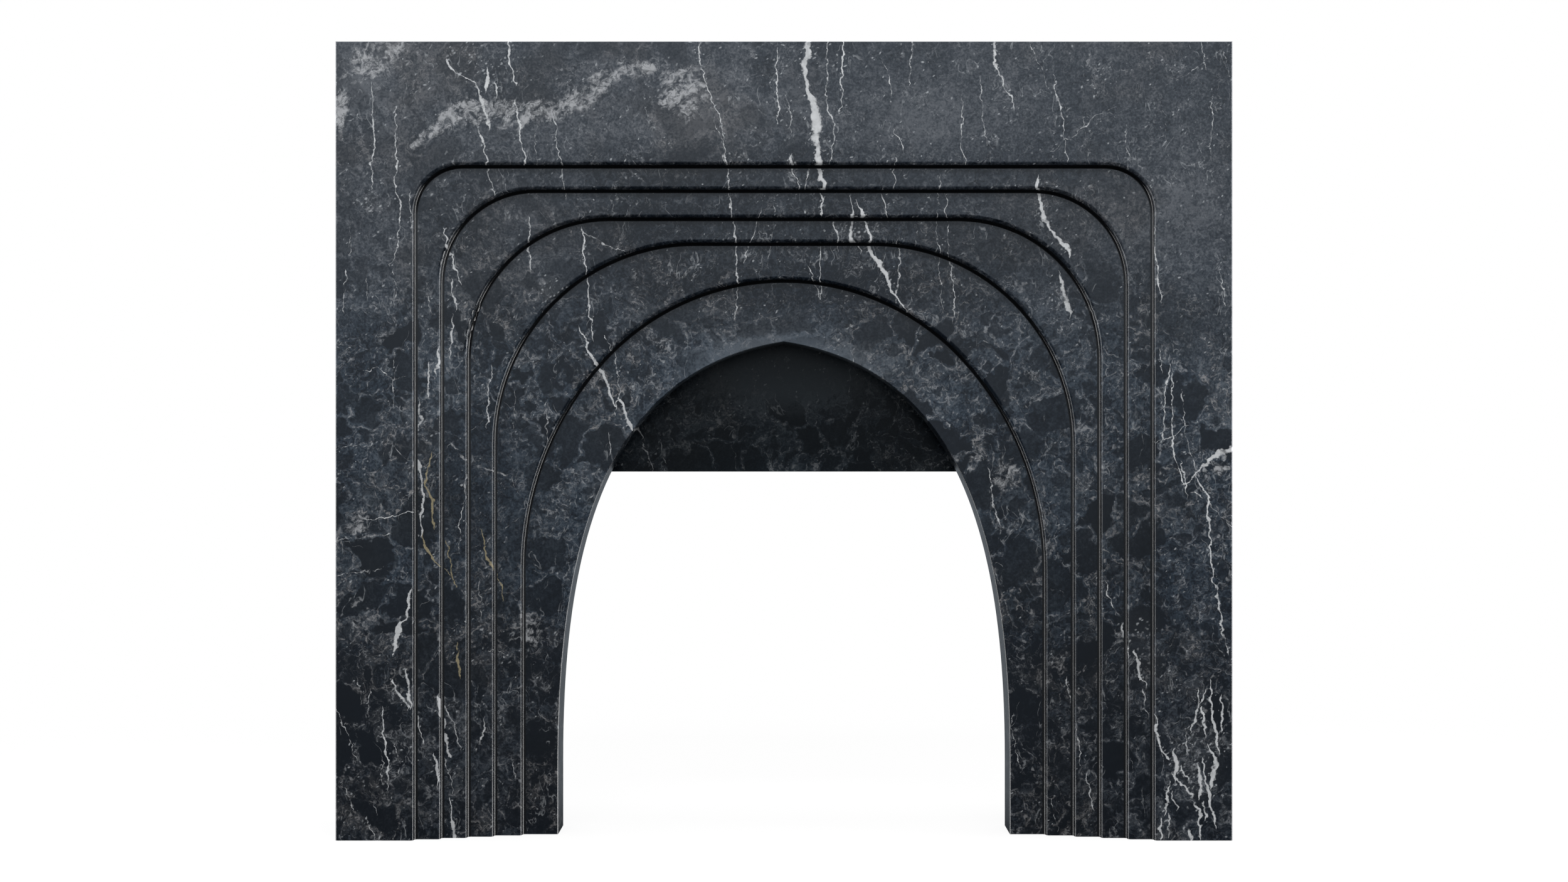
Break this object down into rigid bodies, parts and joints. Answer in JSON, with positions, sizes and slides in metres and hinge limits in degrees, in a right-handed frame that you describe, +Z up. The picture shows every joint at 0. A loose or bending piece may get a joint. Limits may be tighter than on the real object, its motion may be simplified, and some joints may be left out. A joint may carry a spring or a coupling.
{
  "type": "fireplace surround",
  "caption": "Dark veined marble fireplace surround: flat face with nested rounded steps sinking to a tall pointed arch, closed above by a back panel.",
  "frame": {"origin": "on the floor, in the middle of the width and of the depth", "axes": "+X along the face to the viewer's right, +Y from the face back to the wall, +Z up"},
  "size_m": [1.4, 0.225, 1.247],
  "materials": {
    "polished_marble": "polished black marble with white veins",
    "sawn_marble": "sawn, unpolished offcuts of the same stone",
    "tinted_resin": "colour-matched resin, polished",
    "stainless_steel": "mill-finish stainless steel"
  },
  "bodies": {
    "root": {"arch_dowels": "stainless_steel", "arch_left_head": "polished_marble", "arch_left_jamb": "polished_marble", "arch_right_head": "polished_marble", "arch_right_jamb": "polished_marble", "back_panel": "polished_marble", "bracket_screws": "stainless_steel", "fifth_cove": "tinted_resin", "fifth_header": "polished_marble", "fifth_left_jamb": "polished_marble", "fifth_right_jamb": "polished_marble", "first_cove": "tinted_resin", "fourth_cove": "tinted_resin", "fourth_header": "polished_marble", "fourth_left_jamb": "polished_marble", "fourth_right_jamb": "polished_marble", "front_header": "polished_marble", "front_left_jamb": "polished_marble", "front_right_jamb": "polished_marble", "left_corner_block_lower": "sawn_marble", "left_corner_block_middle": "sawn_marble", "left_corner_block_upper": "sawn_marble", "left_head_block": "sawn_marble", "left_panel_cleat": "sawn_marble", "left_panel_spacer": "sawn_marble", "left_return": "polished_marble", "left_wall_bracket_lower": "stainless_steel", "left_wall_bracket_upper": "stainless_steel", "right_corner_block_lower": "sawn_marble", "right_corner_block_middle": "sawn_marble", "right_corner_block_upper": "sawn_marble", "right_head_block": "sawn_marble", "right_panel_cleat": "sawn_marble", "right_panel_spacer": "sawn_marble", "right_return": "polished_marble", "right_wall_bracket_lower": "stainless_steel", "right_wall_bracket_upper": "stainless_steel", "second_cove": "tinted_resin", "second_header": "polished_marble", "second_left_jamb": "polished_marble", "second_right_jamb": "polished_marble", "third_cove": "tinted_resin", "third_header": "polished_marble", "third_left_jamb": "polished_marble", "third_right_jamb": "polished_marble", "top_slab": "polished_marble"}
  },
  "joints": []
}
